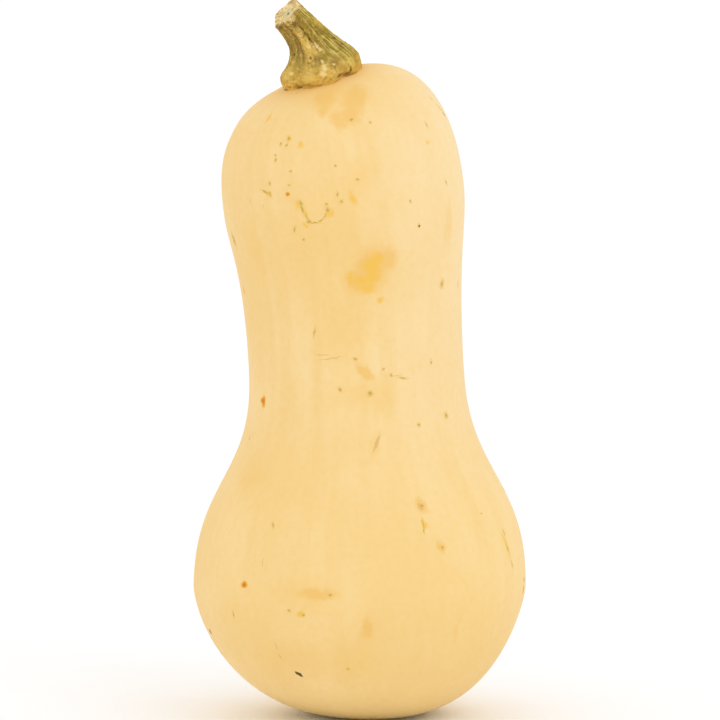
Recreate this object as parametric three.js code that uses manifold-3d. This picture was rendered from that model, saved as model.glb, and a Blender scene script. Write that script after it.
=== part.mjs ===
// A butternut squash standing on its blossom end: the fruit, and the woody stalk it hung from.
// Millimetres, +Z up. The origin is on the surface that the squash stands on, under the middle of the
// bulb. -Y is the side that the squash is looked at from, with +X to the right.
import * as THREE from "three";
import { mergeVertices } from "three/addons/utils/BufferGeometryUtils.js";
import Module from "manifold-3d";

const wasm = await Module();
wasm.setup();

// The fruit's outline: radii, and heights along the fruit's own axis.
const FOOT_RADIUS = 14;
const BULB_RADIUS = 57.2;
const BULB_HEIGHT = 46;
const WAIST_RADIUS = 37.1;
const WAIST_HEIGHT = 118;
const SHOULDER_RADIUS = 41.7;
const SHOULDER_HEIGHT = 181;
const CROWN_HEIGHT = 220.8;
const DEPTH_SHARE = 0.97; // the fruit is a little thinner from front to back than it is wide

// The neck sweeps to the left and forwards, and the crown turns further the same way.
const SWEEP_START = 50;
const SWEEP = new THREE.Vector2(-5.3, -2.5);
const TURN = new THREE.Vector2(-8.7, -6);
const FOOT_SHIFT = 3.2; // the foot lies a little to the right of the bulb's middle
const FOOT_SHIFT_TOP = 42;
const BULB_BACK = -0.4; // centres the uneven bulb over the origin

// The scar of the blossom, a shallow dimple in the foot with a low button in the middle.
const SCAR_RADIUS = 6.5;
const SCAR_DEPTH = 1.6;
const BUTTON_RADIUS = 2.2;
const BUTTON_RISE = 0.9;

// The relief of the fruit wall.
const VEINS = 10;
const VEIN_TURN = THREE.MathUtils.degToRad(2.3);
const VEIN_TWIST = THREE.MathUtils.degToRad(18); // from the bulb to the crown
const CROWN_LOBE = 0.45;
const BULB_LOBE = 0.3;
const UNEVEN = 0.4;

// The stalk: its axis from the crown to the cut, and its radii along it.
const STALK_ROOT = new THREE.Vector3(-12.3, -8.5, 220);
const STALK_KNEE = new THREE.Vector3(-14.6, -11, 233.3);
const STALK_TIP = new THREE.Vector3(-24.6, -17.5, 242.3);
const STALK_SUNK = 5; // how far the untrimmed stalk reaches into the crown
const FLARE_RADIUS = 14.5;
const FLARE_HEIGHT = 3.5;
const SHAFT_RADIUS = 6.7;
const RIM_RADIUS = 6;
const RIBS = 5;
const RIB_TURN = THREE.MathUtils.degToRad(-94); // one rib runs down the front
const PITH_RADIUS = 1.1;
const PITH_DEPTH = 1.2;

const JOINT_GAP = 0.3; // between the fruit's skin and the stalk

const FRUIT_SIDES = 72;
const STALK_SIDES = 60;

const point = (radius, height) => new THREE.Vector2(radius, height);
const above = (spot, rise) => point(spot.x, spot.y + rise);

// Points along a chain of curves, each one starting where the last one ended.
function chain(pieces) {
  const points = [];
  for (const [curve, steps] of pieces) {
    points.push(...curve.getPoints(steps).slice(points.length ? 1 : 0));
  }
  return points;
}

const bend = (from, leave, arrive, to) => new THREE.CubicBezierCurve(from, leave, arrive, to);
const line = (from, to) => new THREE.LineCurve(from, to);

// The fruit's outline from the middle of the foot to the crown. Each stretch is one bend between two of
// the named places: foot, widest ring of the bulb, waist, shoulder and crown.
function fruitOutline() {
  const scarMiddle = point(0, SCAR_DEPTH - BUTTON_RISE);
  const scarRing = point(BUTTON_RADIUS * 1.6, SCAR_DEPTH);
  const scarEdge = point(SCAR_RADIUS, 0);
  const foot = point(FOOT_RADIUS, 0);
  const bulb = point(BULB_RADIUS, BULB_HEIGHT);
  const waist = point(WAIST_RADIUS, WAIST_HEIGHT);
  const shoulder = point(SHOULDER_RADIUS, SHOULDER_HEIGHT);
  const crown = point(0, CROWN_HEIGHT);
  return chain([
    [bend(scarMiddle, point(BUTTON_RADIUS, scarMiddle.y), point(BUTTON_RADIUS, SCAR_DEPTH), scarRing), 3],
    [bend(scarRing, point(SCAR_RADIUS * 0.8, SCAR_DEPTH), point(SCAR_RADIUS * 0.8, 0), scarEdge), 3],
    [line(scarEdge, foot), 1],
    [bend(foot, point(FOOT_RADIUS + 34.5, 4), above(bulb, -7), bulb), 11],
    [bend(bulb, above(bulb, 35.5), above(waist, -34), waist), 10],
    [bend(waist, above(waist, 44), above(shoulder, -16.5), shoulder), 8],
    [bend(shoulder, above(shoulder, 32), point(27.4, CROWN_HEIGHT), crown), 12],
  ]);
}

// The same outline moved outwards by a distance, each point along the outline's own normal.
function grown(outline, distance) {
  return outline.map((here, i) => {
    const before = outline[Math.max(i - 1, 0)];
    const after = outline[Math.min(i + 1, outline.length - 1)];
    const along = after.clone().sub(before).normalize();
    const out = point(here.x + along.y * distance, here.y - along.x * distance);
    out.x = here.x === 0 ? 0 : out.x;
    return out;
  });
}

// How far the skin stands out at an angle and a height: lobes over the veins, deepest round the stalk,
// and a slow unevenness of growth.
function fruitRelief(angle, height) {
  const nearCrown = THREE.MathUtils.smoothstep(height, SHOULDER_HEIGHT - 12, CROWN_HEIGHT - 8);
  const onBulb = THREE.MathUtils.smoothstep(height, 8, BULB_HEIGHT) *
    (1 - THREE.MathUtils.smoothstep(height, BULB_HEIGHT, WAIST_HEIGHT));
  const twist = VEIN_TWIST * THREE.MathUtils.smoothstep(height, WAIST_HEIGHT, SHOULDER_HEIGHT);
  const lobes = (CROWN_LOBE * nearCrown + BULB_LOBE * onBulb) * Math.cos(VEINS * (angle + VEIN_TURN + twist));
  const sway = 0.5 * Math.sin(2 * angle + height / 31) - Math.sin(3 * angle - height / 23 + 1.9);
  return lobes + UNEVEN * sway;
}

// Where the fruit's axis is at a height, and how far it leans there.
function fruitAxis(height) {
  const share = Math.max(0, (height - SWEEP_START) / (CROWN_HEIGHT - SWEEP_START));
  const away = SWEEP.clone().multiplyScalar(share ** 2).addScaledVector(TURN, share ** 5);
  const slope = SWEEP.clone().multiplyScalar(2 * share).addScaledVector(TURN, 5 * share ** 4)
    .divideScalar(CROWN_HEIGHT - SWEEP_START);
  const low = Math.max(0, 1 - height / FOOT_SHIFT_TOP);
  const centre = new THREE.Vector3(away.x + FOOT_SHIFT * low * low, away.y + BULB_BACK, height);
  const up = new THREE.Vector3(slope.x, slope.y, 1).normalize();
  return { centre, up };
}

// A turned body with its axis along +Z, in which every point is then moved by place(angle, radius, height).
function turned(outline, sides, place) {
  const geometry = new THREE.LatheGeometry(outline, sides);
  geometry.rotateX(Math.PI / 2);
  geometry.deleteAttribute("normal");
  geometry.deleteAttribute("uv");
  const position = geometry.getAttribute("position");
  for (let i = 0; i < position.count; i++) {
    const radius = Math.hypot(position.getX(i), position.getY(i));
    const angle = Math.atan2(position.getY(i), position.getX(i));
    const moved = place(angle, radius, position.getZ(i));
    position.setXYZ(i, moved.x, moved.y, moved.z);
  }
  return mergeVertices(geometry, 1e-4);
}

// A point at an angle and radius in the plane across an axis that leans by up.
const Z = new THREE.Vector3(0, 0, 1);
function across({ centre, up }, angle, radius, depthShare) {
  const lean = new THREE.Quaternion().setFromUnitVectors(Z, up);
  return new THREE.Vector3(radius * Math.cos(angle), radius * Math.sin(angle) * depthShare, 0)
    .applyQuaternion(lean)
    .add(centre);
}

function fruitGeometry(skin = 0) {
  return turned(grown(fruitOutline(), skin), FRUIT_SIDES, (angle, radius, height) => {
    const fade = Math.min(1, radius / (0.5 * SHOULDER_RADIUS));
    return across(fruitAxis(height), angle, radius + fade * fruitRelief(angle, height), DEPTH_SHARE);
  });
}

const stalkCurve = new THREE.QuadraticBezierCurve3(STALK_ROOT, STALK_KNEE, STALK_TIP);
const STALK_LENGTH = stalkCurve.getLength();

// The stalk's outline from inside the crown, over the flare and up the shaft to the rim of the cut, and
// over the cut to the hollow left by the dried pith.
function stalkOutline() {
  const base = point(FLARE_RADIUS - 2, -STALK_SUNK);
  const flare = point(FLARE_RADIUS, FLARE_HEIGHT);
  const shaft = point(SHAFT_RADIUS, STALK_LENGTH * 0.72);
  const rim = point(RIM_RADIUS, STALK_LENGTH - 0.4);
  const cutEdge = point(RIM_RADIUS - 0.5, STALK_LENGTH);
  const pithEdge = point(PITH_RADIUS, STALK_LENGTH - 0.4);
  return chain([
    [line(point(0, -STALK_SUNK), base), 4],
    [bend(base, point(base.x + 0.5, -2), point(FLARE_RADIUS, 0), flare), 5],
    [bend(flare, above(flare, 5.2), point(SHAFT_RADIUS + 0.9, STALK_LENGTH * 0.38), shaft), 14],
    [line(shaft, rim), 6],
    [line(rim, cutEdge), 1],
    [line(cutEdge, pithEdge), 4],
    [line(pithEdge, point(PITH_RADIUS * 0.6, STALK_LENGTH - PITH_DEPTH)), 1],
    [line(point(PITH_RADIUS * 0.6, STALK_LENGTH - PITH_DEPTH), point(0, STALK_LENGTH - PITH_DEPTH)), 1],
  ]);
}

// The share of the stalk's radius left at an angle and a height. The shaft has five narrow ribs with
// hollow flanks between them. Down on the flare the ribs swell and part in two toes each.
function stalkRelief(angle, height) {
  const turn = angle - RIB_TURN;
  const onFlare = 1 - THREE.MathUtils.smoothstep(height, 2, 15);
  const nearCut = THREE.MathUtils.smoothstep(height, STALK_LENGTH * 0.75, STALK_LENGTH);
  const flank = 1 - Math.pow(0.5 + 0.5 * Math.cos(RIBS * turn), 1.5);
  const crease = 1 - Math.pow(Math.abs(Math.cos(RIBS * turn / 2)), 0.7);
  const toe = 0.5 + 0.5 * Math.cos(2 * RIBS * turn);
  const shaft = (0.24 - 0.1 * nearCut) * (1 - onFlare) * flank;
  const foot = onFlare * (0.12 * crease + 0.03 * toe);
  return 1 - shaft - foot + 0.03 * Math.sin(3 * turn + height / 4);
}

// Where the stalk's axis is at a height along it, and which way it points there.
function stalkAxis(height) {
  const at = THREE.MathUtils.clamp(height / STALK_LENGTH, 0, 1);
  const up = stalkCurve.getTangentAt(at);
  const centre = stalkCurve.getPointAt(at).addScaledVector(up, height - at * STALK_LENGTH);
  return { centre, up };
}

function stalkGeometry() {
  return turned(stalkOutline(), STALK_SIDES, (angle, radius, height) =>
    across(stalkAxis(height), angle, radius * stalkRelief(angle, height), 1));
}

// A closed geometry as a solid to cut with, without the faces that shrank to nothing at the poles.
function solidOf(geometry) {
  const index = geometry.index.array;
  const kept = [];
  for (let i = 0; i < index.length; i += 3) {
    const [a, b, c] = index.slice(i, i + 3);
    if (a !== b && b !== c && a !== c) kept.push(a, b, c);
  }
  const vertProperties = geometry.getAttribute("position").array;
  return new wasm.Manifold(new wasm.Mesh({ numProp: 3, vertProperties, triVerts: new Uint32Array(kept) }));
}

function geometryOf(solid) {
  const { vertProperties, triVerts } = solid.getMesh();
  const geometry = new THREE.BufferGeometry();
  geometry.setAttribute("position", new THREE.BufferAttribute(vertProperties, 3));
  geometry.setIndex(new THREE.BufferAttribute(triVerts, 1));
  geometry.computeVertexNormals();
  return geometry;
}

function fruit() {
  const rind = new THREE.MeshStandardMaterial({ color: 0xf3d092, roughness: 0.55, metalness: 0 });
  const mesh = new THREE.Mesh(geometryOf(solidOf(fruitGeometry())), rind);
  mesh.name = "fruit";
  return mesh;
}

// The stalk sits on the crown: its underside is trimmed to the skin, with the joint's gap between them.
function stalk() {
  const bark = new THREE.MeshStandardMaterial({ color: 0xa79a4c, roughness: 0.85, metalness: 0 });
  const trimmed = solidOf(stalkGeometry()).subtract(solidOf(fruitGeometry(JOINT_GAP)));
  const mesh = new THREE.Mesh(geometryOf(trimmed), bark);
  mesh.name = "stalk";
  return mesh;
}

const squash = new THREE.Group();
squash.add(fruit(), stalk());

export default squash;
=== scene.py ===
# %% [markdown]
# # A butternut squash
# A butternut squash stands on the end where its blossom was. It has a round bulb, a long thick neck
# that leans a little, and a short ribbed stalk that was cut when it was picked. The solids of the fruit
# and the stalk come in first, at their real size in metres, and every piece below is fitted to them.

# %% Bring in the solids
import math

import bpy
import numpy as np
from mathutils import Matrix, Vector, noise


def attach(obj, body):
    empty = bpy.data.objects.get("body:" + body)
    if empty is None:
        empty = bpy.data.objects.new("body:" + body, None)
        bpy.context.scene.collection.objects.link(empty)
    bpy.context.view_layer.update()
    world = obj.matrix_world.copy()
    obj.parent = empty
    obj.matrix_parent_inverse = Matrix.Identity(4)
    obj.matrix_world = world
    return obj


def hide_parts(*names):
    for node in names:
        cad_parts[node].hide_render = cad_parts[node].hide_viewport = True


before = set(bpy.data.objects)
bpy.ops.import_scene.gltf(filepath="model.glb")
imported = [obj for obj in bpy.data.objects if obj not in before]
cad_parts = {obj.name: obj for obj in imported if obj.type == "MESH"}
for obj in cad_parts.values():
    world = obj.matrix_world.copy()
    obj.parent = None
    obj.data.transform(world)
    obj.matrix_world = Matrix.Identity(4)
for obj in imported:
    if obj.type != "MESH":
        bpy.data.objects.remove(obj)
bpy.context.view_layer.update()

MM = 0.001
print("solids:", sorted(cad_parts))

# %% [markdown]
# ## The camera
# The squash was photographed from the front, from a little above the level of its middle, with a long
# lens, so its outline is hardly bent by perspective. The lens length follows from one measure: how many
# millimetres of the squash one pixel of the picture covers.

# %% Set the camera
PICTURE = 720
PIXEL = 0.345 * MM
SENSOR_WIDTH = 36
CAMERA_AWAY = 1.4
CAMERA_RISE = math.radians(4)
LOOK_AT = Vector((0.2 * MM, 0, 123.1 * MM))

backwards = Vector((0, -math.cos(CAMERA_RISE), math.sin(CAMERA_RISE)))
bpy.ops.object.select_all(action="DESELECT")
bpy.ops.object.camera_add(
    location=LOOK_AT + CAMERA_AWAY * backwards,
    rotation=(math.radians(90) - CAMERA_RISE, 0, 0),
)
camera = bpy.context.object
camera.data.sensor_width = SENSOR_WIDTH
camera.data.lens = SENSOR_WIDTH * CAMERA_AWAY / (PIXEL * PICTURE)
camera.data.clip_end = 100
bpy.context.scene.camera = camera
print("lens:", round(camera.data.lens, 1), "mm")

# %% [markdown]
# ## A few hands
# An operator works on all that is selected, so each step first picks up one piece alone. The small
# helpers here do that, and put a shader node into a material in one line.

# %% Pick up one piece
def pick_up(piece):
    bpy.ops.object.select_all(action="DESELECT")
    piece.select_set(True)
    bpy.context.view_layer.objects.active = piece


def corners_of(piece):
    spots = np.empty(len(piece.data.vertices) * 3)
    piece.data.vertices.foreach_get("co", spots)
    return spots.reshape(-1, 3)


def move_corners(piece, spots):
    piece.data.vertices.foreach_set("co", spots.ravel())
    piece.data.update()


def write_on_corners(piece, name, values):
    kind = "FLOAT_VECTOR" if values.ndim == 2 else "FLOAT"
    layer = piece.data.attributes.new(name, kind, "POINT")
    layer.data.foreach_set("vector" if values.ndim == 2 else "value", values.ravel())


def smooth_step(values, low, high):
    share = np.clip((values - low) / (high - low), 0, 1)
    return share * share * (3 - 2 * share)


def roughen(spots, size):
    """Blender's own noise at each spot, with lumps of about the given size."""
    return np.array([noise.noise(Vector(spot) / size) for spot in spots])


# %% Put nodes into a material
def new_material(name):
    made = bpy.data.materials.new(name)
    made.use_nodes = True
    return made


def add(tree, kind, inputs, **settings):
    """A new shader node. An input that comes from another node is linked, and any other is set."""
    made = tree.nodes.new("ShaderNode" + kind)
    for name, value in settings.items():
        setattr(made, name, value)
    for name, value in inputs.items():
        if isinstance(value, bpy.types.NodeSocket):
            tree.links.new(value, made.inputs[name])
        else:
            made.inputs[name].default_value = value
    return made.outputs


def math_of(tree, operation, first, second):
    return add(tree, "Math", {0: first, 1: second}, operation=operation)[0]


def both(tree, first, second):
    return math_of(tree, "MULTIPLY", first, second)


def share_of(tree, value, low, high):
    """0 at low and 1 at high, and a soft step between them."""
    ends = {"Value": value, "From Min": low, "From Max": high}
    return add(tree, "MapRange", ends, interpolation_type="SMOOTHSTEP")[0]


def paint_over(tree, share, under, over):
    return add(tree, "Mix", {0: share, 6: under, 7: over}, data_type="RGBA")[2]


def coat(tree, under, over, share, strength):
    """One more thin coat of colour, full where the share is 1."""
    return paint_over(tree, both(tree, share, strength), under, over)


def grain_noise(tree, place, scale, detail, rough):
    inputs = {"Vector": place, "Scale": scale, "Detail": detail, "Roughness": rough}
    return add(tree, "TexNoise", inputs)["Fac"]


def stretch(tree, place, by):
    return add(tree, "VectorMath", {0: place, 1: by}, operation="MULTIPLY")["Vector"]


def tone(red, green, blue):
    """A colour as a screen shows it, 0 to 255 each, in the linear light that the shader works in."""
    return (*[((c / 255 + 0.055) / 1.055) ** 2.4 for c in (red, green, blue)], 1.0)


# %% [markdown]
# ## The fruit
# The skin of the real fruit is one smooth closed sheet with no edge anywhere. The solid has the right
# form, but it is made of flat facets. A copy of it is merged, its triangles are joined to quads, and a
# Subdivision Surface modifier rounds the facets away. Shaping the squash again from a sphere would only
# copy the same outline by hand.

# %% Round the skin
bpy.ops.object.select_all(action="DESELECT")
skin = bpy.data.objects.new("skin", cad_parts["fruit"].data.copy())
bpy.context.scene.collection.objects.link(skin)
pick_up(skin)
bpy.ops.object.mode_set(mode="EDIT")
bpy.ops.mesh.select_all(action="SELECT")
bpy.ops.mesh.remove_doubles(threshold=0.005 * MM)
bpy.ops.mesh.tris_convert_to_quads(face_threshold=math.radians(60), shape_threshold=math.radians(60))
bpy.ops.object.mode_set(mode="OBJECT")
rounding = skin.modifiers.new("rounding", "SUBSURF")
rounding.levels = rounding.render_levels = 2
bpy.ops.object.modifier_apply(modifier=rounding.name)
bpy.ops.object.shade_smooth()
print("skin:", len(skin.data.polygons), "faces")

# %% [markdown]
# A squash grows along its own bent axis, and the faint streaks in its skin follow it. Each corner of
# the mesh gets its place along and around that axis, written on the mesh as an attribute. The material
# reads it, so the streaks bend with the neck and have no seam.

# %% Write the way it grew on the skin
SWEEP_START = 50 * MM
CROWN_HEIGHT = 220.8 * MM
SWEEP = np.array([-5.3, -2.5]) * MM
TURN = np.array([-8.7, -6.0]) * MM
ROUND = 40 * MM


def grown_place(spots):
    share = np.clip((spots[:, 2] - SWEEP_START) / (CROWN_HEIGHT - SWEEP_START), 0, 1)[:, None]
    across = spots[:, :2] - SWEEP * share ** 2 - TURN * share ** 5
    around = across / np.maximum(np.linalg.norm(across, axis=1), 1e-6)[:, None]
    return np.column_stack([around * ROUND, spots[:, 2]])


skin_spots = corners_of(skin)
write_on_corners(skin, "grown", grown_place(skin_spots))
print("skin height:", round(skin_spots[:, 2].max() / MM, 1), "mm")

# %% [markdown]
# ## The stalk
# The stalk is dry and woody. It stands on the crown on a wide foot with knobs, narrows to a shaft with
# five ribs, bends to the left and forwards, and ends in a flat cut. It is made as a straight turned
# piece first: a disc, then ring after ring extruded from its edge, each one scaled to the width of the
# stalk there. The cut is the same move with the rings drawn inwards.

# %% Turn the straight stalk
STALK_ROOT = np.array([-12.3, -8.5, 220]) * MM
STALK_KNEE = np.array([-14.6, -11, 233.3]) * MM
STALK_TIP = np.array([-24.6, -17.5, 242.3]) * MM


def stalk_axis(shares):
    """Places along the bent axis, and which way it points at each."""
    leg, shin = STALK_KNEE - STALK_ROOT, STALK_TIP - STALK_KNEE
    shares = shares[:, None]
    ways = leg + shares * (shin - leg)
    return STALK_ROOT + shares * (leg + ways), ways / np.linalg.norm(ways, axis=1)[:, None]


axis_shares = np.linspace(0, 1, 401)
axis_spots = stalk_axis(axis_shares)[0]
axis_lengths = np.append(0, np.cumsum(np.linalg.norm(np.diff(axis_spots, axis=0), axis=1)))
STALK_LENGTH = axis_lengths[-1]
print("stalk length:", round(STALK_LENGTH / MM, 1), "mm")

# %% Draw its rings
def bend_between(start, leave, arrive, end, steps):
    share = np.linspace(0, 1, steps + 1)[1:, None]
    away = 1 - share
    ends = away ** 3 * np.array(start) + share ** 3 * np.array(end)
    return ends + 3 * away ** 2 * share * np.array(leave) + 3 * away * share ** 2 * np.array(arrive)


BASE, FLARE, SHAFT, RIM = 12.5 * MM, 14.5 * MM, 6.7 * MM, 6 * MM
BASE_HEIGHT = -5 * MM
foot_rings = bend_between((BASE, BASE_HEIGHT), (13 * MM, -2 * MM), (FLARE, 0), (FLARE, 3.5 * MM), 4)
shin_rings = bend_between(
    foot_rings[-1],
    (FLARE, 8.7 * MM),
    (SHAFT + 0.9 * MM, 0.38 * STALK_LENGTH),
    (SHAFT, 0.72 * STALK_LENGTH),
    12,
)
shaft_rings = [(SHAFT + (RIM - SHAFT) * k / 5, (0.72 + 0.28 * k / 5) * STALK_LENGTH) for k in range(1, 6)]
cut_rings = [
    (RIM - 0.3 * MM, STALK_LENGTH + 0.2 * MM),
    (RIM - 1.0 * MM, STALK_LENGTH + 0.15 * MM),
    (RIM - 1.7 * MM, STALK_LENGTH - 0.3 * MM),
    (3.0 * MM, STALK_LENGTH - 0.3 * MM),
    (1.9 * MM, STALK_LENGTH - 0.5 * MM),
    (0.9 * MM, STALK_LENGTH - 0.5 * MM),
    (0.4 * MM, STALK_LENGTH - 1.3 * MM),
]
SIDES = 48

bpy.ops.object.select_all(action="DESELECT")
bpy.ops.mesh.primitive_circle_add(
    vertices=SIDES, radius=BASE, fill_type="TRIFAN", location=(0, 0, BASE_HEIGHT)
)
stalk = bpy.context.object
stalk.name = stalk.data.name = "stalk_wood"
bpy.ops.object.transform_apply()
bpy.ops.object.mode_set(mode="EDIT")
bpy.ops.mesh.select_mode(type="VERT")
bpy.ops.mesh.select_all(action="DESELECT")
bpy.ops.mesh.select_non_manifold(extend=False)
width, height = BASE, BASE_HEIGHT
for next_width, next_height in [*foot_rings, *shin_rings, *shaft_rings, *cut_rings]:
    bpy.ops.mesh.extrude_region_move(TRANSFORM_OT_translate={"value": (0, 0, next_height - height)})
    drawn = next_width / width
    bpy.ops.transform.resize(value=(drawn, drawn, 1), center_override=(0, 0, next_height))
    width, height = next_width, next_height
bpy.ops.mesh.merge(type="CENTER")
bpy.ops.mesh.select_all(action="SELECT")
bpy.ops.mesh.normals_make_consistent(inside=False)
bpy.ops.object.mode_set(mode="OBJECT")
dense = stalk.modifiers.new("dense", "SUBSURF")
dense.levels = dense.render_levels = 3
bpy.ops.object.modifier_apply(modifier=dense.name)
bpy.ops.object.shade_smooth()
print("straight stalk:", len(stalk.data.polygons), "faces")

# %% [markdown]
# The ribs, fibres and corky warts are many and fine, so they aren't pulled out by hand. Every corner of
# the dense straight piece is moved in or out by a rule of its angle and height. First come the five ribs
# and the hollows between them, the same as on the solid.

# %% Carve the ribs
RIBS = 5
FRONT_RIB = -94
RIB_DEPTH, RIB_DEPTH_LOST_AT_CUT = 0.24, 0.1
CREASE_DEPTH, TOE_DEPTH, UNEVEN = 0.12, 0.03, 0.03
GRAIN_ROUND = 6 * MM

straight = corners_of(stalk)
radii = np.hypot(straight[:, 0], straight[:, 1])
angles = np.arctan2(straight[:, 1], straight[:, 0])
heights = straight[:, 2].copy()
turns = angles - math.radians(FRONT_RIB)
grain = np.column_stack([np.cos(angles) * GRAIN_ROUND, np.sin(angles) * GRAIN_ROUND, heights])

on_flare = 1 - smooth_step(heights, 2 * MM, 15 * MM)
near_cut = smooth_step(heights, 0.75 * STALK_LENGTH, STALK_LENGTH)
flank = 1 - (0.5 + 0.5 * np.cos(RIBS * turns)) ** 1.5
crease = 1 - np.abs(np.cos(RIBS * turns / 2)) ** 0.7
toe = 0.5 + 0.5 * np.cos(2 * RIBS * turns)
left = 1 - (RIB_DEPTH - RIB_DEPTH_LOST_AT_CUT * near_cut) * (1 - on_flare) * flank
left -= on_flare * (CREASE_DEPTH * crease + TOE_DEPTH * toe)
left += UNEVEN * np.sin(3 * turns + heights / (4 * MM))
print("ribs leave", round(left.min(), 2), "to", round(left.max(), 2), "of the radius")

# %% [markdown]
# Then come the small forms. Fibres run up the stalk like fine pleats, a cosine of the angle that a noise
# bends and interrupts. The front rib is rough with cork, a sharp crease runs beside it, the foot is
# wrinkled and knobbly, and the rim of the cut is torn. Places round the stalk are in degrees, and depths
# are in millimetres.

# %% Raise the fibres, cork and wrinkles
def beside(degrees, width):
    away = np.angle(np.exp(1j * (angles - math.radians(degrees))))
    return np.exp(-(away / math.radians(width)) ** 2)


def between(low, high, soft=2.0):
    return smooth_step(heights, (low - soft) * MM, (low + soft) * MM) * (
        1 - smooth_step(heights, (high - soft) * MM, (high + soft) * MM))


def crests(spots, size, sharp):
    return 1 - np.minimum(1, sharp * np.abs(roughen(spots, size)))


PLEATS = 60
RIGHT_FLANK, SHARP_CREASE, FOOT_SLOT, LEFT_CORNER = -14, -82, -54, 132
ABOVE_CUT = 40
sway = 6 * roughen(grain * (1, 1, 0.14), 2.6 * MM) + 2 * roughen(grain * (1, 1, 0.3), 1.2 * MM)
pleat = 0.5 + 0.5 * np.cos(PLEATS * angles + sway)
fibre = pleat ** 2 * (0.45 + 0.55 * smooth_step(roughen(grain * (1, 1, 0.2) + 0.4, 2.2 * MM), -0.35, 0.25))
fine_fibre = crests(grain * (1, 1, 0.16) + 0.03, 0.55 * MM, 2.4)
wrinkle = crests(grain * (1.8, 1.8, 0.7) + 0.07, 1.8 * MM, 2.2)
crust = roughen(straight + 0.23, 1.5 * MM)
knot = roughen(straight + 0.05, 4.5 * MM)
grit = roughen(straight + 0.11, 0.8 * MM)
wart = np.clip(2.2 * roughen(straight + 0.17, 1.1 * MM), 0, 1)
on_right = beside(RIGHT_FLANK, 40)
front_rib = beside(FRONT_RIB, 13) * between(9, ABOVE_CUT)
fine = (0.2 + 0.26 * on_right) * (1 - 0.4 * on_flare) * (fibre - 0.4)
fine += (0.12 + 0.05 * on_right) * (fine_fibre - 0.5)
fine += on_flare * (0.2 * (wrinkle - 0.5) + 0.3 * crust) * (1 - 0.6 * on_right)
fine += 0.12 * grit + front_rib * (0.6 * wart + 0.3 * grit)
fine += 0.3 * beside(-55, 3) * between(7, ABOVE_CUT)
depth = fine + 0.55 * on_flare * knot
depth -= 1.2 * beside(SHARP_CREASE, 4.5) * between(10, 24)
depth -= 0.7 * beside(FOOT_SLOT, 3) * between(-1, 5, 1)
torn = smooth_step(heights, STALK_LENGTH - 3 * MM, STALK_LENGTH - 0.5 * MM)
depth += torn * (0.5 * roughen(grain + 0.2, 1.6 * MM) + 0.25 * roughen(grain + 0.3, 0.7 * MM))
depth += 0.9 * beside(LEFT_CORNER, 15) * smooth_step(heights, STALK_LENGTH - 6 * MM, STALK_LENGTH)

on_side = smooth_step(radii, 4.6 * MM, 5.6 * MM)
sawn = (1 - on_side) * near_cut * 0.15 * roughen(straight * (1, 1, 0), 0.9 * MM)
radii = radii * left + on_side * depth * MM
heights = heights + sawn * MM
print("small forms:", round(depth.min(), 2), "to", round(depth.max(), 2), "mm")

# %% [markdown]
# Last the straight piece is bent. Each corner keeps its distance from the middle line, and the line
# itself is laid along the curved axis. Before that, the corner's straight place is kept as an attribute,
# because the colour of the wood follows the straight grain.

# %% Bend the stalk
shares = np.interp(heights, axis_lengths, axis_shares)
centres, ups = stalk_axis(shares)
centres += ups * (heights - np.interp(shares, axis_shares, axis_lengths))[:, None]
flat = np.column_stack([radii * np.cos(angles), radii * np.sin(angles), 0 * radii])
across = np.cross((0, 0, 1), ups)
lean = across * (across * flat).sum(1)[:, None] / (1 + ups[:, 2])[:, None]
bent = centres + flat * ups[:, 2:] + np.cross(across, flat) + lean
move_corners(stalk, bent)
write_on_corners(stalk, "grain", grain)
write_on_corners(stalk, "turned", straight)
write_on_corners(stalk, "fibre", fibre * np.clip(0.35 + on_right, 0, 1) * (1 - 0.35 * on_flare))
write_on_corners(stalk, "raised", np.clip(0.5 + 1.6 * fine, 0, 1))
print("stalk size:", [round(side / MM, 1) for side in bent.max(0) - bent.min(0)], "mm")

# %% [markdown]
# Where the stalk meets the fruit, the two have grown together, and their colours run into each other,
# and shade is painted on both along the contact. So each corner of the stalk also gets its height over
# the skin, and each corner of the skin its distance from the stalk.

# %% Measure how close stalk and skin are
bpy.context.view_layer.update()


def gaps(spots, other, reach):
    found = (other.closest_point_on_mesh(Vector(spot), distance=reach) for spot in spots)
    pairs = zip(spots, found)
    return np.array([(Vector(spot) - place).length if met else reach for spot, (met, place, _, _) in pairs])


SEAM_REACH, RING_SHADE_REACH = 8 * MM, 24 * MM
off_stalk = gaps(skin_spots, stalk, RING_SHADE_REACH)
write_on_corners(stalk, "over_skin", gaps(bent, skin, SEAM_REACH) / MM)
write_on_corners(skin, "off_stalk", off_stalk / MM)
near_by = off_stalk[off_stalk < SEAM_REACH]
print("skin near the stalk:", len(near_by), "corners")

# %% [markdown]
# ## The marks on the skin
# No squash from a field is clean. It has soft yellow stains, rust dots, scabs, and thin scratches that
# have healed. Painting them on an image would tie them to one picture size, so each mark is a small
# ellipsoid in space that the skin cuts through. A Mapping node moves, turns and scales it to its place,
# and a spherical Gradient node fades it from its middle to its edge.

# %% Find a spot on the front
def on_front(piece, column, row):
    """Where the picture's pixel meets a piece, and a turn that lays a mark flat and upright there."""
    across = (column + 0.5 - PICTURE / 2) * PIXEL
    rise = (PICTURE / 2 - row - 0.5) * PIXEL
    sight = camera.matrix_world.to_3x3() @ Vector((across, rise, -CAMERA_AWAY))
    met, spot, out, _ = piece.ray_cast(camera.matrix_world.translation, sight.normalized())
    assert met, (column, row)
    side = Vector((0, 0, 1)).cross(out).normalized()
    return spot, Matrix((side, out.cross(side), out)).transposed()


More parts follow.
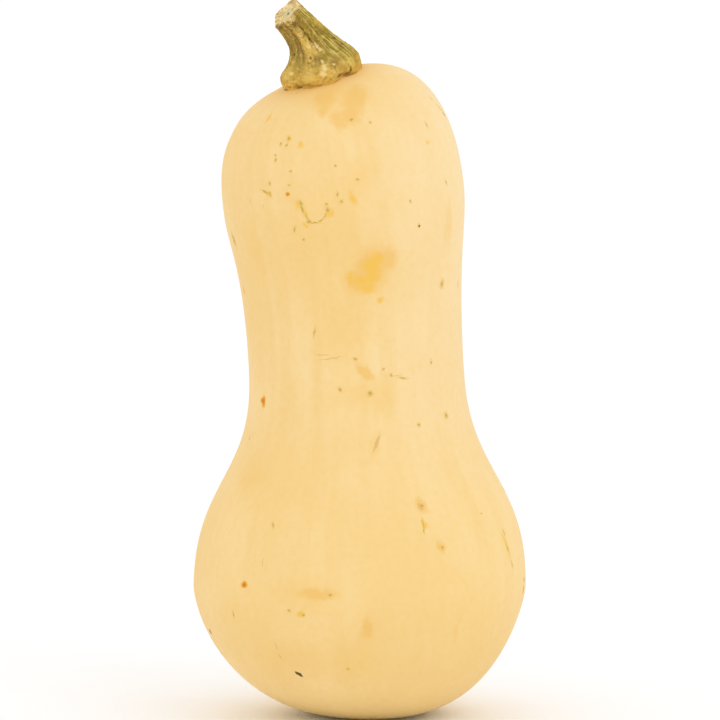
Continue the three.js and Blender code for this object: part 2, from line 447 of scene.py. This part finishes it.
def mark_field(tree, piece, place, marks, melt, spread=1.0):
    """1 in the middle of each mark and 0 outside. A mark is column, row, then length and width in
    pixels of the picture, and how far its top leans to the right, in degrees. Close marks melt together,
    and spread leaves room for a halo round each."""
    field = 0.0
    for column, row, length, width, lean in marks:
        spot, lie = on_front(piece, column, row)
        lie = lie @ Matrix.Rotation(math.radians(-lean), 3, "Z")
        half = Vector((width, length, max(length, width, 12))) * PIXEL * spread / 2
        settings = {"Vector": place, "Location": spot, "Rotation": lie.to_euler(), "Scale": half}
        laid = add(tree, "Mapping", settings, vector_type="TEXTURE")["Vector"]
        one = add(tree, "TexGradient", {"Vector": laid}, gradient_type="SPHERICAL")["Fac"]
        joined = "SMOOTH_MAX" if melt else "MAXIMUM"
        field = add(tree, "Math", {0: field, 1: one, 2: melt}, operation=joined)[0]
    return field


bpy.context.view_layer.update()
print("middle of the picture:", [round(side / MM, 1) for side in on_front(skin, 360, 360)[0]], "mm")

# %% [markdown]
# The marks were placed kind by kind. Shades are wide and have no edge at all, and stains are
# smaller and a little clearer. Yellow patches are where the skin rubbed on a leaf or another squash.
# Scabs are small and dark, rust dots are orange, and scratches are long and thin.

# %% List the marks
# Just under the stalk, the second shade and the first five stains are partly a stain and partly painted
# shade of the shallow furrows there.
SHADES = [
    (318, 250, 240, 120, 5), (338, 96, 60, 110, 0), (362, 392, 60, 110, 0), (352, 664, 90, 90, 0),
    (340, 330, 150, 90, 0), (305, 592, 50, 100, 0), (250, 480, 70, 60, 30), (256, 250, 100, 40, 0),
    (300, 660, 60, 140, 0), (380, 400, 60, 50, 0), (368, 631, 60, 30, 0), (366, 268, 90, 90, 0),
    (448, 221, 80, 24, 0), (359, 176, 64, 50, 0), (456, 628, 50, 12, 0), (375, 445, 50, 24, 10),
]
STAINS = [
    (324, 98, 52, 34, 0), (355, 97, 66, 34, 8), (350, 114, 36, 30, 0), (338, 119, 34, 24, -20),
    (323, 109, 34, 22, 10), (421, 506, 28, 16, -10), (364, 371, 34, 16, -42), (367, 628, 34, 14, 0),
    (441, 546, 20, 12, -20), (318, 594, 16, 54, 0), (386, 258, 34, 34, 0), (370, 268, 60, 44, 0),
    (356, 280, 34, 40, 0),
]
PATCHES = [
    (372, 266, 44, 24, -3), (370, 278, 26, 20, 20), (376, 257, 18, 20, 0), (360, 281, 18, 26, 0),
    (349, 279, 20, 11, 0), (366, 288, 11, 32, 0), (380, 300, 13, 12, 0), (352, 198, 20, 14, 0),
    (298.5, 206, 14, 7, -10), (304, 212, 18, 8, -30), (304, 225, 6, 12, 40),
    (328.5, 213, 10, 12, 0), (300, 144, 11, 9, 0), (269.5, 194.5, 9, 8, 0), (268, 118, 22, 8, 0),
    (289, 139, 9, 8, 0), (427, 142, 7, 9, 0), (300, 614, 14, 14, 0), (423, 525, 18, 8, 0),
    (441, 546, 8, 10, 0), (506, 545, 44, 9, -12),
]
SCABS = [
    (288.5, 138, 4, 3.5, 0), (286, 144.5, 3.5, 2, 20), (280, 143.5, 4, 2, 20),
    (275, 155, 2.2, 2.2, 0), (275, 160, 4, 1.8, 0), (290, 171, 2.2, 2.2, 0),
    (288.5, 185, 2, 2.6, 0), (269.2, 183, 3.4, 3, 0), (264.5, 191.5, 1.8, 9, 20),
    (269.5, 193.5, 6, 2.2, -25), (296.6, 92.5, 2.6, 3.2, 0), (300.5, 203, 6, 3.4, -30),
    (302, 209, 9, 2.2, -12), (306.5, 217, 9, 1.5, -30), (308.5, 221.5, 3.4, 5, 0),
    (314, 222.5, 1.3, 10, 4), (320.5, 220, 1.3, 7, -35), (324.5, 215, 1.3, 6, -60),
    (327, 209, 5, 4, 0), (326, 203.5, 2.4, 2.4, 0), (294, 229, 6, 1.8, 20), (303, 239, 2, 2.6, 0),
    (337, 194, 4, 1.6, 0), (369.6, 122, 2.2, 2.2, 0), (351, 119, 3, 4, 0), (357, 179, 2.4, 3.2, 0),
    (418.6, 225.4, 2.8, 2.8, 0), (445.5, 182, 6, 1.8, -25), (409.8, 201, 3.6, 1.6, -20),
    (438.5, 107, 9, 1.6, -38), (442.5, 112, 9, 2.4, -25), (430.5, 98, 4, 1.8, -40),
    (426, 124, 5, 1.8, -15), (314, 331.5, 8, 2, 8), (354.5, 358.5, 2.6, 4, 30),
    (339.5, 389, 4, 2.6, -30), (369.5, 393, 4.4, 5, 0), (383, 369, 2.4, 2.4, 0),
    (390.5, 374.5, 3, 2.2, -40), (402, 377.6, 1.8, 9, 6), (445.5, 415, 5.4, 5, -20),
    (418, 424.5, 3.2, 3.6, 0), (430.5, 361.5, 4, 2.4, 0), (441.5, 283.5, 7, 5, 10),
    (457.5, 284, 7, 2, -10), (272.4, 524.5, 6, 2.2, -25), (288.5, 609.8, 2.4, 3, 0),
    (302.6, 614.5, 3.2, 2.2, 20), (329.6, 595, 2.6, 3.4, 0), (233, 614, 6, 1.8, -5),
    (421.5, 505, 3.4, 3, -20), (423, 530, 5, 1.8, 0), (442, 547, 4, 2.4, -20),
    (503.5, 532, 7, 2.4, -10), (507, 547, 12, 1.8, -12), (511.5, 563, 8, 1.8, -15),
    (347.3, 668.5, 2.2, 2.6, 0), (480.6, 512.6, 1.8, 1.8, 0), (490.5, 465.5, 4, 2, -30),
    (503, 489, 6, 2.4, -30), (243.5, 290, 5, 2.4, -10), (249, 438, 4, 1.6, -20),
    (233.5, 240, 12, 4, -18), (227.2, 471, 2.4, 2.4, 0), (334.6, 165, 2, 2, 0),
    (341, 201, 3, 3, 30),
]
BLACK_SCABS = [
    (298.4, 673.5, 13, 6, -50), (209.8, 631, 9, 6, -35), (523.5, 579, 8, 4, -10),
    (443.3, 113.6, 8, 3.4, -25), (418.6, 225.4, 2.6, 2.6, 0),
]
RUST = [
    (263.2, 401, 16, 9, 5), (262.4, 400, 9, 13, 0), (287.2, 193.8, 6.5, 6.5, 0),
    (243.8, 584.4, 9, 11, -20), (220.5, 652, 5, 4, -30), (522.8, 589, 12, 6, 5),
    (243.6, 290, 8, 4, -10),
]
SCRATCHES = [
    (330, 358, 1.6, 36, -9), (322, 354.4, 1.2, 22, -3), (262.2, 562, 14, 1.2, 0),
    (276, 646, 14, 1.8, -8), (279.5, 656, 10, 1.8, -30), (376, 443, 30, 5, 22),
    (420, 506, 12, 8, -20), (423, 526, 22, 4, 0), (233, 238, 20, 9, -18), (396, 375, 1.4, 22, -4),
    (250, 200, 10, 1.2, 0), (263, 205, 8, 1.2, 0),
]
print("marks:", sum(map(len, (SHADES, STAINS, PATCHES, SCABS, BLACK_SCABS, RUST, SCRATCHES))))

# %% [markdown]
# ## The colour of the rind
# The rind is a warm pale tan. Seen closely it has faint streaks along the way it grew, wide paler and
# deeper clouds, and a fine mottling. The bulb is a little yellower than the neck. Low down it is painted
# paler, painted light that lifts the shade near the floor. The right side of the neck, towards the lamp,
# is painted paler as a painted sheen, and round the stalk the skin is painted a warmer orange, a painted
# shade. The layers go over each other from wide to fine.

# %% Paint the clouds and streaks
rind = new_material("rind")
tree = rind.node_tree
shader = tree.nodes["Principled BSDF"]
spot = add(tree, "TexCoord", {})["Object"]
grown = add(tree, "Attribute", {}, attribute_name="grown")["Vector"]
sides = add(tree, "SeparateXYZ", {"Vector": spot})
height = sides["Z"]

clouds = grain_noise(tree, spot, 22, 2, 0.5)
streaks = grain_noise(tree, stretch(tree, grown, (150, 150, 10)), 1, 2, 0.5)
threads = grain_noise(tree, stretch(tree, grown, (620, 620, 40)), 1, 2, 0.5)
mottle = grain_noise(tree, spot, 420, 4, 0.6)

RIND_PALE = tone(246, 218, 162)
RIND_DEEP = tone(241, 206, 140)
RIND_ORANGE = tone(235, 192, 116)
colour = paint_over(tree, share_of(tree, clouds, 0.3, 0.7), RIND_PALE, RIND_DEEP)
colour = coat(tree, colour, RIND_DEEP, share_of(tree, streaks, 0.42, 0.7), 0.75)
colour = coat(tree, colour, RIND_ORANGE, share_of(tree, threads, 0.5, 0.8), 0.1)
colour = coat(tree, colour, RIND_ORANGE, share_of(tree, mottle, 0.45, 0.75), 0.05)

lower = math_of(tree, "ADD", height, both(tree, clouds, 30 * MM))
yellowed = share_of(tree, lower, 160 * MM, 50 * MM)
colour = coat(tree, colour, tone(243, 208, 136), yellowed, 0.4)
# Painted light: the bulb is painted paler low down, to lift the shade near the floor.
low_painted_light = share_of(tree, lower, 45 * MM, 10 * MM)
colour = coat(tree, colour, tone(255, 226, 162), low_painted_light, 0.95)
# Painted sheen: the right side of the neck, towards the lamp, is painted paler.
on_neck = share_of(tree, height, 75 * MM, 110 * MM)
neck_sheen = both(tree, share_of(tree, sides["X"], -5 * MM, 25 * MM), on_neck)
colour = coat(tree, colour, tone(246, 223, 179), neck_sheen, 0.38)
# Painted shade: the skin is painted a warmer orange in a ring round the stalk.
stalk_gap = add(tree, "Attribute", {}, attribute_name="off_stalk")["Fac"]
stalk_ring_shade = share_of(tree, math_of(tree, "ADD", stalk_gap, both(tree, clouds, 12.0)), 20.0, 2.0)
colour = coat(tree, colour, tone(237, 186, 98), stalk_ring_shade, 0.75)
print("rind layers so far:", len(tree.nodes), "nodes")

# %% [markdown]
# The marks go on next. Their edges are never clean, so the place where they are looked up is nudged by
# noise first, and a finer noise frays each edge. A rust dot is browner in its middle. A scab has a soft
# yellow halo, where the skin healed round it, and a small dark core. Each of these pairs is read from one
# field of marks, at two levels.

# %% Lay the marks over the colour
def nudged(tree, place, scale, reach):
    wobble = add(tree, "TexNoise", {"Vector": place, "Scale": scale, "Detail": 2.0})["Color"]
    centred = add(tree, "VectorMath", {0: wobble, 1: (0.5, 0.5, 0.5)}, operation="SUBTRACT")["Vector"]
    moved = stretch(tree, centred, (reach, reach, reach))
    return add(tree, "VectorMath", {0: place, 1: moved}, operation="ADD")["Vector"]


def lay_marks(tree, under, over, strength, piece, place, fray, marks, low, high, melt=0.0):
    field = math_of(tree, "ADD", mark_field(tree, piece, place, marks, melt), fray)
    return coat(tree, under, over, share_of(tree, field, low, high), strength)


def frayed(tree, noise_share, reach):
    return both(tree, math_of(tree, "SUBTRACT", noise_share, 0.5), reach)


loose = nudged(tree, spot, 130, 8 * MM)
close = nudged(tree, spot, 900, 1.1 * MM)
loose_edge = nudged(tree, spot, 260, 4 * MM)
slight_fray = frayed(tree, mottle, 0.25)
fine_fray = frayed(tree, grain_noise(tree, spot, 1500, 2, 0.5), 0.4)

SHADE, STAIN, YELLOW = tone(240, 199, 120), tone(237, 188, 102), tone(240, 190, 80)
HEALED, SCAB_HALO, SCAB_CORE = tone(196, 156, 78), tone(230, 190, 96), tone(180, 142, 56)
colour = lay_marks(tree, colour, SHADE, 0.5, skin, loose, 0.0, SHADES, 0.0, 0.9, 0.2)
colour = lay_marks(tree, colour, STAIN, 0.7, skin, loose_edge, slight_fray, STAINS, 0.0, 0.7, 0.2)
colour = lay_marks(tree, colour, YELLOW, 0.9, skin, loose_edge, slight_fray, PATCHES, 0.02, 0.8, 0.25)
colour = lay_marks(tree, colour, HEALED, 0.5, skin, close, fine_fray, SCRATCHES, 0.1, 0.7)

rust_field = math_of(tree, "ADD", mark_field(tree, skin, close, RUST, 0.0), slight_fray)
colour = coat(tree, colour, tone(234, 156, 18), share_of(tree, rust_field, 0.05, 0.5), 0.95)
colour = coat(tree, colour, tone(176, 104, 6), share_of(tree, rust_field, 0.45, 0.8), 0.6)

scab_field = math_of(tree, "ADD", mark_field(tree, skin, close, SCABS, 0.0, 2.4), fine_fray)
colour = coat(tree, colour, SCAB_HALO, share_of(tree, scab_field, 0.05, 0.6), 0.5)
colour = coat(tree, colour, SCAB_CORE, share_of(tree, scab_field, 0.52, 0.85), 0.65)
colour = lay_marks(tree, colour, tone(74, 52, 10), 0.95, skin, close, slight_fray, BLACK_SCABS, 0.1, 0.5)
print("rind with its marks:", len(tree.nodes), "nodes")

# %% [markdown]
# The back of the skin, which the picture doesn't show, has the same kinds of marks scattered by chance.
# A Voronoi texture gives every cell its own random colour, and one channel of it decides whether the cell
# has a mark.

# %% Scatter small specks
def specks(tree, place, scale, kept, reach):
    cell = add(tree, "TexVoronoi", {"Vector": place, "Scale": scale, "Randomness": 1.0})
    chance = add(tree, "SeparateColor", {"Color": cell["Color"]})["Red"]
    chosen = math_of(tree, "LESS_THAN", chance, kept)
    away = math_of(tree, "ADD", cell["Distance"], frayed(tree, mottle, 0.14))
    return both(tree, share_of(tree, away, reach, reach * 0.45), chosen)


behind = share_of(tree, sides["Y"], -18 * MM, 8 * MM)
ragged = nudged(tree, spot, 80, 24 * MM)
upright = stretch(tree, grown, (1, 1, 0.12))
for place, scale, kept, reach, over, strength in (
    (ragged, 32, 0.45, 0.3, tone(238, 188, 92), 0.4),
    (close, 95, 0.45, 0.16, SCAB_HALO, 0.4),
    (close, 95, 0.45, 0.085, tone(168, 130, 52), 0.75),
    (upright, 150, 0.4, 0.1, HEALED, 0.4),
):
    scattered = both(tree, specks(tree, place, scale, kept, reach), behind)
    colour = coat(tree, colour, over, scattered, strength)

# %% [markdown]
# Under the squash, in the middle of the foot, is the scar that the blossom left: a corky brown disc in a
# shallow dimple, with rings that crack as the fruit swells.

# %% Paint the scar of the blossom
scar_place = nudged(tree, spot, 500, 1.5 * MM)
scar_spot = {"Vector": scar_place, "Location": (3.2 * MM, -0.4 * MM, 0), "Scale": (9 * MM, 9 * MM, 5 * MM)}
scar_lay = add(tree, "Mapping", scar_spot, vector_type="TEXTURE")["Vector"]
scar = add(tree, "TexGradient", {"Vector": scar_lay}, gradient_type="SPHERICAL")["Fac"]
colour = coat(tree, colour, tone(214, 164, 92), share_of(tree, scar, 0.0, 0.3), 0.6)
cork = paint_over(tree, share_of(tree, mottle, 0.35, 0.65), tone(148, 112, 70), tone(184, 150, 102))
colour = paint_over(tree, share_of(tree, scar, 0.3, 0.4), colour, cork)
rings = math_of(tree, "SINE", both(tree, scar, 46), 0.0)
cracks = both(tree, share_of(tree, rings, 0.5, 1.0), share_of(tree, scar, 0.32, 0.42))
colour = coat(tree, colour, tone(96, 68, 42), cracks, 0.5)

# %% Give the rind its gloss and its fine relief
pores = grain_noise(tree, spot, 1100, 2, 0.6)
relief = math_of(tree, "ADD", both(tree, mottle, 0.25), both(tree, threads, 0.3))
relief = math_of(tree, "ADD", relief, both(tree, pores, 0.35))
bump = add(tree, "Bump", {"Height": relief, "Strength": 0.2, "Distance": 0.1 * MM})["Normal"]
gloss = math_of(tree, "ADD", both(tree, mottle, 0.16), both(tree, clouds, 0.14))
tree.links.new(colour, shader.inputs["Base Color"])
tree.links.new(math_of(tree, "ADD", gloss, 0.42), shader.inputs["Roughness"])
tree.links.new(bump, shader.inputs["Normal"])
shader.inputs["Specular IOR Level"].default_value = 0.22
skin.data.materials.clear()
skin.data.materials.append(rind)
print("rind:", len(tree.nodes), "nodes")

# %% [markdown]
# ## The colour of the stalk
# The stalk dried from green to straw. Its ribs are still olive with long lime fibres, the hollows
# between them are brown, its foot is golden where it swells into the fruit, and the front rib is rough
# with cork. Its cut shows cream wood, a ring of dark sap tubes and a grey green pith. Nearly all of this
# follows the stalk's own length and angle, so it reads the attributes that were written while it was
# straight.

# %% Paint the fibres
wood = new_material("stalk")
tree = wood.node_tree
shader = tree.nodes["Principled BSDF"]
spot = add(tree, "TexCoord", {})["Object"]
grain = add(tree, "Attribute", {}, attribute_name="grain")["Vector"]
along = add(tree, "SeparateXYZ", {"Vector": grain})["Z"]

wavy = nudged(tree, grain, 260, 1.2 * MM)
fibre = add(tree, "Attribute", {}, attribute_name="fibre")["Fac"]
raised = add(tree, "Attribute", {}, attribute_name="raised")["Fac"]
over_skin = add(tree, "Attribute", {}, attribute_name="over_skin")["Fac"]
strands = grain_noise(tree, stretch(tree, wavy, (900, 900, 90)), 1, 3, 0.65)
flecks = grain_noise(tree, spot, 1100, 4, 0.65)
blotch = grain_noise(tree, spot, 320, 3, 0.6)

OLIVE_DARK = tone(136, 114, 32)
OLIVE = tone(172, 148, 52)
LIME = tone(222, 202, 108)
GOLD = tone(212, 166, 62)
TAN = tone(216, 180, 88)
CREAM = tone(242, 214, 142)
DARK_BROWN = tone(124, 90, 28)
wood_colour = paint_over(tree, share_of(tree, strands, 0.34, 0.6), OLIVE_DARK, OLIVE)
wood_colour = paint_over(tree, share_of(tree, fibre, 0.3, 0.85), wood_colour, LIME)
print("fibres:", len(tree.nodes), "nodes")

# %% [markdown]
# A dot product tells how nearly a place on the stalk faces a direction round it: 1 straight at it, 0 a
# quarter turn away. That picks out the front rib and the hollows on its two sides, and painted shade in
# the sharp crease beside the rib. What stands up is painted paler, and what lies deep is painted darker.

# %% Paint each side of the stalk
def facing(degrees, low, high):
    turned_by = math.radians(degrees)
    way = (math.cos(turned_by) / GRAIN_ROUND, math.sin(turned_by) / GRAIN_ROUND, 0)
    towards = add(tree, "VectorMath", {0: wavy, 1: way}, operation="DOT_PRODUCT")["Value"]
    return share_of(tree, towards, math.cos(math.radians(low)), math.cos(math.radians(high)))


smooth_hollow = both(tree, facing(-70, 17, 8), share_of(tree, along, 9 * MM, 14 * MM))
wood_colour = coat(tree, wood_colour, tone(168, 138, 48), smooth_hollow, 0.8)
left_hollow = both(tree, facing(-134, 36, 16), share_of(tree, along, 6 * MM, 13 * MM))
dusty = paint_over(tree, share_of(tree, strands, 0.38, 0.62), tone(140, 108, 42), tone(180, 152, 74))
wood_colour = coat(tree, wood_colour, dusty, left_hollow, 0.85)
# Painted shade in the sharp crease beside the front rib.
crease_shade = both(tree, share_of(tree, along, 10 * MM, 14 * MM), share_of(tree, along, 25 * MM, 21 * MM))
crease_shade = both(tree, crease_shade, facing(-81, 9, 3))
front = both(tree, facing(FRONT_RIB, 24, 12), share_of(tree, along, 7 * MM, 12 * MM))
corky = share_of(tree, flecks, 0.34, 0.5)
wood_colour = paint_over(tree, both(tree, front, corky), wood_colour, TAN)
wood_colour = coat(tree, wood_colour, tone(122, 86, 24), crease_shade, 0.7)
gold_line = math_of(tree, "ADD", along, frayed(tree, blotch, 18 * MM))
gold_line = math_of(tree, "ADD", gold_line, both(tree, facing(-40, 40, 20), 2 * MM))
wood_colour = coat(tree, wood_colour, GOLD, share_of(tree, gold_line, 12 * MM, 2 * MM), 0.85)
bleached = both(tree, facing(-88, 58, 20), share_of(tree, along, 11 * MM, 6 * MM))
bleached = both(tree, bleached, share_of(tree, along, 0.0, 3 * MM))
wood_colour = coat(tree, wood_colour, tone(232, 190, 98), bleached, 0.5)
crumbs = grain_noise(tree, stretch(tree, wavy, (1, 1, 0.6)), 800, 4, 0.7)
wood_colour = coat(tree, wood_colour, tone(230, 200, 116), share_of(tree, crumbs, 0.53, 0.63), 0.55)
above_gold = math_of(tree, "ADD", both(tree, share_of(tree, gold_line, 2 * MM, 9 * MM), 0.3), 0.25)
dark_crumbs = both(tree, share_of(tree, crumbs, 0.47, 0.37), above_gold)
wood_colour = paint_over(tree, dark_crumbs, wood_colour, tone(134, 104, 32))
# Paler where the surface stands up, darker where it lies deep.
wood_colour = coat(tree, wood_colour, CREAM, share_of(tree, raised, 0.66, 1.0), 0.3)
wood_colour = coat(tree, wood_colour, DARK_BROWN, share_of(tree, raised, 0.36, 0.05), 0.5)
wood_colour = coat(tree, wood_colour, CREAM, share_of(tree, flecks, 0.58, 0.75), 0.3)
wood_colour = coat(tree, wood_colour, DARK_BROWN, share_of(tree, flecks, 0.4, 0.3), 0.3)

# %% [markdown]
# At the very foot the wood turns into rind. The change is ragged: in places the gold runs right down into
# the skin, and in others a dark line of painted shade lies along the contact.

# %% Let the foot run into the skin
seam = math_of(tree, "ADD", over_skin, frayed(tree, blotch, 3.0))
wood_colour = coat(tree, wood_colour, tone(226, 176, 84), share_of(tree, seam, 1.2, 0.0), 0.6)
# Painted shade: a dark line along the contact with the skin, in some places.
broad = grain_noise(tree, spot, 130, 1, 0.5)
contact_shade = both(tree, share_of(tree, broad, 0.5, 0.6), share_of(tree, over_skin, 0.9, 0.2))
wood_colour = coat(tree, wood_colour, tone(150, 96, 34), contact_shade, 0.75)

# %% [markdown]
# A few pale scars and dark creases on the front were placed in the same way as the skin's marks.

# %% Lay the scars on the stalk
STALK_SCARS = [
    (315.5, 45.5, 10, 10, 0), (319, 49, 8, 6, -30), (324, 67, 13, 8, -10), (323, 74, 9, 12, 20),
    (322, 61, 7, 5, 0), (291, 73, 6, 9, 20), (334, 64, 4, 6, 0), (300, 35, 7, 4, -40),
    (308, 46, 6, 5, -30),
]
# Mostly painted shade: dark marks in the creases, in the slot by the foot, under the cut and along the
# contact with the skin.
STALK_CREASE_SHADE = [
    (309, 38.5, 9, 4, -50), (303, 33, 7, 3, -40), (294, 54, 5, 4, 0), (350, 69, 12, 5, 5),
    (333, 38, 3, 8, 30), (341, 42.5, 3, 8, 30), (310, 57.5, 4, 4, 0), (295, 23, 13, 6, -20),
    (346, 73.5, 5, 14, -15), (339, 75, 4.4, 20, -20), (280, 26.5, 6, 9, 30),
]
# Dark smudges. Some are the stalk's own dark mottling, and those under the cut and along the foot's contact
# with the skin are painted shade.
STALK_SMUDGES_AND_SHADE = [
    (320, 59, 18, 26, 0), (334, 62, 16, 22, -15), (291, 49, 20, 10, 10), (296, 24, 24, 14, -25),
    (298, 86, 5, 24, 0), (309, 85, 5, 24, 0), (338, 44, 26, 8, -42),
]
# Ochre patches. Those on the left of the foot are partly painted light, lifting the shade on the side away
# from the lamp.
STALK_OCHRE = [
    (311, 50, 24, 20, 0), (303, 41, 20, 10, -40), (297, 32, 14, 8, -35), (312, 79, 14, 40, 0),
    (288, 72, 36, 18, 10), (290, 83, 12, 18, 0), (317, 21, 24, 8, -40), (352, 63, 18, 14, 0),
]
near_stalk = nudged(tree, spot, 620, 1.3 * MM)
stalk_fray = frayed(tree, flecks, 0.9)
for over, strength, marks, low, high in (
    (tone(136, 108, 36), 0.7, STALK_SMUDGES_AND_SHADE, 0.0, 0.8),
    (tone(230, 192, 92), 0.6, STALK_OCHRE, 0.0, 0.8),
    (CREAM, 0.75, STALK_SCARS, 0.1, 0.7),
    (tone(98, 66, 20), 0.8, STALK_CREASE_SHADE, 0.1, 0.8),
):
    settings = (over, strength, stalk, near_stalk, stalk_fray, marks, low, high)
    wood_colour = lay_marks(tree, wood_colour, *settings)
print("sides and scars:", len(tree.nodes), "nodes")

# %% Paint the cut
turned = add(tree, "Attribute", {}, attribute_name="turned")["Vector"]
cut_place = nudged(tree, turned, 900, 0.5 * MM)
cut_lay = stretch(tree, cut_place, (1, 1, 0))
from_middle = add(tree, "VectorMath", {0: cut_lay}, operation="LENGTH")["Value"]
sawn_wood = paint_over(tree, share_of(tree, flecks, 0.35, 0.62), tone(208, 176, 104), tone(246, 222, 164))
sawn_wood = coat(tree, sawn_wood, tone(178, 140, 72), share_of(tree, blotch, 0.53, 0.62), 0.6)
at_rim = share_of(tree, from_middle, 4.4 * MM, 5.2 * MM)
near_rim = both(tree, at_rim, share_of(tree, crumbs, 0.5, 0.42))
sawn_wood = coat(tree, sawn_wood, tone(158, 120, 58), near_rim, 0.8)
tubes = add(tree, "TexVoronoi", {"Vector": cut_lay, "Scale": 1500, "Randomness": 0.8})["Distance"]
out_of_pith = share_of(tree, from_middle, 2.8 * MM, 3.4 * MM)
in_ring = both(tree, out_of_pith, share_of(tree, from_middle, 5.0 * MM, 4.5 * MM))
in_tube = both(tree, in_ring, share_of(tree, tubes, 0.36, 0.2))
sawn_wood = paint_over(tree, in_tube, sawn_wood, tone(150, 116, 52))
pith = paint_over(tree, share_of(tree, flecks, 0.4, 0.6), tone(204, 192, 138), tone(226, 212, 164))
in_pith = share_of(tree, from_middle, 2.5 * MM, 1.9 * MM)
sawn_wood = paint_over(tree, in_pith, sawn_wood, pith)
in_hole = share_of(tree, from_middle, 0.75 * MM, 0.35 * MM)
sawn_wood = paint_over(tree, in_hole, sawn_wood, tone(110, 96, 60))
on_cut = both(
    tree,
    share_of(tree, along, STALK_LENGTH - 1.9 * MM, STALK_LENGTH - 0.9 * MM),
    share_of(tree, from_middle, RIM + 0.2 * MM, RIM - 0.3 * MM),
)
wood_colour = paint_over(tree, on_cut, wood_colour, sawn_wood)

# %% Give the stalk its rough relief
roughness = math_of(tree, "ADD", both(tree, flecks, 0.25), 0.68)
wood_relief = math_of(tree, "ADD", strands, both(tree, flecks, 1.2))
wood_bump = add(tree, "Bump", {"Height": wood_relief, "Strength": 0.7, "Distance": 0.35 * MM})["Normal"]
tree.links.new(wood_colour, shader.inputs["Base Color"])
tree.links.new(roughness, shader.inputs["Roughness"])
tree.links.new(wood_bump, shader.inputs["Normal"])
shader.inputs["Specular IOR Level"].default_value = 0.3
stalk.data.materials.clear()
stalk.data.materials.append(wood)
print("stalk:", len(tree.nodes), "nodes")

# %% [markdown]
# ## The floor and the light
# The squash stands on a plain white floor under a white sky, as in a product picture, so its shadow is
# only a soft darkening round the foot. One large lamp from the front right adds a little shape.

# %% Lay the floor
bpy.ops.object.select_all(action="DESELECT")
bpy.ops.mesh.primitive_circle_add(vertices=96, radius=30, fill_type="NGON", location=(0, 0, 0))
floor = bpy.context.object
floor.name = "floor"
paper = new_material("paper")
tree = paper.node_tree
paper_grain = grain_noise(tree, add(tree, "TexCoord", {})["Object"], 40, 2, 0.5)
paper_colour = paint_over(tree, paper_grain, (0.96, 0.96, 0.96, 1), (0.98, 0.98, 0.98, 1))
tree.links.new(paper_colour, tree.nodes["Principled BSDF"].inputs["Base Color"])
tree.nodes["Principled BSDF"].inputs["Roughness"].default_value = 0.9
tree.nodes["Principled BSDF"].inputs["Specular IOR Level"].default_value = 0.0
floor.data.materials.append(paper)

# %% Light it
sky = bpy.data.worlds.new("sky")
bpy.context.scene.world = sky
sky.use_nodes = True
sky.node_tree.nodes["Background"].inputs["Color"].default_value = (1, 1, 1, 1)
sky.node_tree.nodes["Background"].inputs["Strength"].default_value = 1.04

LAMP_SPOT = Vector((1.1, -1.3, 1.3))
aim = (Vector((0, 0, 0.12)) - LAMP_SPOT).to_track_quat("-Z", "Y").to_euler()
bpy.ops.object.light_add(type="AREA", location=LAMP_SPOT, rotation=aim)
lamp = bpy.context.object
lamp.data.shape = "DISK"
lamp.data.size = 1.2
lamp.data.energy = 3
lamp.data.color = (0.75, 0.97, 1.4)
bpy.context.scene.view_settings.view_transform = "Standard"

# %% [markdown]
# ## Hand over
# Each piece is tied to the body it moves with and takes the place of its solid.

# %% Tie the pieces to the solids
for piece, node, slot in ((skin, "fruit", "rind"), (stalk, "stalk", "stalk")):
    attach(piece, "root")
    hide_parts(node)
